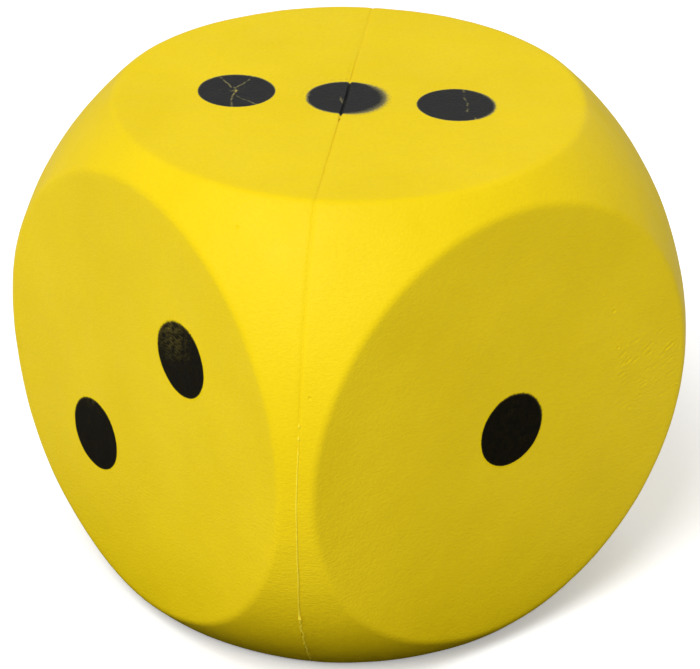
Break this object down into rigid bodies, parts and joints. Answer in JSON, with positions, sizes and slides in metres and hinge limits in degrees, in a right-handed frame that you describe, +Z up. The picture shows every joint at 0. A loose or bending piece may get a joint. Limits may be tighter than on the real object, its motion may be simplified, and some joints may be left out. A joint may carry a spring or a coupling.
{
  "type": "giant yard dice",
  "caption": "Large soft foam yard dice with ball-rounded edges and corners, round flat faces, painted pips and a moulded skin with a parting seam, rolled in lawn games.",
  "frame": {"origin": "centre of the flat face that the die stands on, the four", "axes": "+Z up, out of the three; -Y out of the one and -X out of the two; opposite faces add up to seven"},
  "size_m": [0.16, 0.16, 0.16],
  "materials": {
    "skin": "satin",
    "seam": "satin",
    "foam": "matte",
    "pip_paint": "satin"
  },
  "bodies": {
    "root": {"foam_core": "foam", "skin_left": "skin", "skin_right": "skin", "seam_bead": "seam", "pip_one_middle": "pip_paint", "pip_two_upper_right": "pip_paint", "pip_two_lower_left": "pip_paint", "pip_three_upper_left": "pip_paint", "pip_three_middle": "pip_paint", "pip_three_lower_right": "pip_paint", "pip_four_upper_left": "pip_paint", "pip_four_upper_right": "pip_paint", "pip_four_lower_left": "pip_paint", "pip_four_lower_right": "pip_paint", "pip_five_upper_left": "pip_paint", "pip_five_upper_right": "pip_paint", "pip_five_lower_left": "pip_paint", "pip_five_lower_right": "pip_paint", "pip_five_middle": "pip_paint", "pip_six_top_left": "pip_paint", "pip_six_mid_left": "pip_paint", "pip_six_bottom_left": "pip_paint", "pip_six_top_right": "pip_paint", "pip_six_mid_right": "pip_paint", "pip_six_bottom_right": "pip_paint"}
  },
  "joints": []
}
